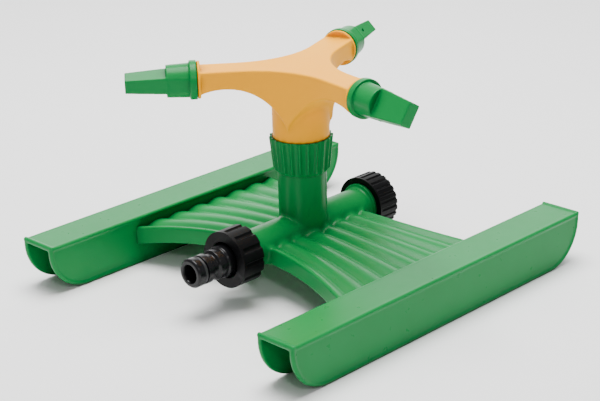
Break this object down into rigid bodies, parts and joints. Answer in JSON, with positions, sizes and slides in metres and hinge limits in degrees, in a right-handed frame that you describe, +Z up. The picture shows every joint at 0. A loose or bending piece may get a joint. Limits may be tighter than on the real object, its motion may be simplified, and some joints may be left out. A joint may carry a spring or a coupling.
{
  "type": "rotary sprinkler",
  "caption": "Rotary lawn sprinkler: spinning head with swivelling nozzle arms on a tower, pipe with hose tail and end cap, and a sled stand with ribbed deck.",
  "frame": {"origin": "on the ground plane, below the spin axis of the head", "axes": "+Z up along the head's spin axis; +Y along the runners, from the hose tail to the end cap; +X to the right when looking along +Y"},
  "size_m": [0.218, 0.24, 0.1321],
  "materials": {
    "green_plastic": "moulded, semi-gloss",
    "yellow_plastic": "moulded, semi-gloss",
    "black_plastic": "moulded, satin",
    "black_gloss_plastic": "moulded, gloss",
    "bearing_plastic": "turned, smooth",
    "seal_rubber": "matt"
  },
  "bodies": {
    "stand": {"left_runner": "green_plastic", "right_runner": "green_plastic", "left_deck": "green_plastic", "right_deck": "green_plastic", "water_pipe": "green_plastic", "collar_nut": "green_plastic", "lower_thrust_washer": "bearing_plastic", "upper_thrust_washer": "bearing_plastic"},
    "rotor": {"rotor_head": "yellow_plastic", "rotor_spindle": "bearing_plastic", "spindle_seal": "seal_rubber", "nozzle_seal_1": "seal_rubber", "nozzle_seal_2": "seal_rubber", "nozzle_seal_3": "seal_rubber"},
    "nozzle_1_body": {"nozzle_1": "green_plastic"},
    "nozzle_2_body": {"nozzle_2": "green_plastic"},
    "nozzle_3_body": {"nozzle_3": "green_plastic"},
    "inlet": {"inlet_tail": "black_gloss_plastic", "tail_seal": "seal_rubber", "inlet_washer": "seal_rubber"},
    "inlet_ring": {"inlet_nut": "black_plastic"},
    "cap_seal": {"cap_washer": "seal_rubber"},
    "cap": {"end_cap": "black_plastic"}
  },
  "joints": [
    {"name": "rotor_spin", "type": "hinge", "parent": "stand", "child": "rotor", "pos_m": [0, 0, 0.121], "axis": [0, 0, 1], "continuous": true},
    {"name": "nozzle_turn_1", "type": "hinge", "parent": "rotor", "child": "nozzle_1_body", "pos_m": [-0.03696, -0.04405, 0.121], "axis": [-0.6428, -0.766, 0], "continuous": true},
    {"name": "nozzle_turn_2", "type": "hinge", "parent": "rotor", "child": "nozzle_2_body", "pos_m": [0.05663, -0.00999, 0.121], "axis": [0.9848, -0.1736, 0], "continuous": true},
    {"name": "nozzle_turn_3", "type": "hinge", "parent": "rotor", "child": "nozzle_3_body", "pos_m": [-0.01967, 0.05403, 0.121], "axis": [-0.342, 0.9397, 0], "continuous": true},
    {"name": "inlet_travel", "type": "slide", "parent": "stand", "child": "inlet", "axis": [0, -1, 0], "range_m": [0, 0.0095]},
    {"name": "inlet_nut_turn", "type": "hinge", "parent": "inlet", "child": "inlet_ring", "pos_m": [0, -0.056, 0.028], "axis": [0, -1, 0], "range_deg": [0, 1800]},
    {"name": "cap_travel", "type": "slide", "parent": "stand", "child": "cap_seal", "axis": [0, 1, 0], "range_m": [0, 0.0095]},
    {"name": "cap_turn", "type": "hinge", "parent": "cap_seal", "child": "cap", "pos_m": [0, 0.056, 0.028], "axis": [0, 1, 0], "range_deg": [0, 1800]}
  ],
  "couplings": [
    {"joint": "inlet_travel", "follows": "inlet_nut_turn", "m_per_rad": 0.00028871},
    {"joint": "cap_travel", "follows": "cap_turn", "m_per_rad": 0.00028871}
  ]
}
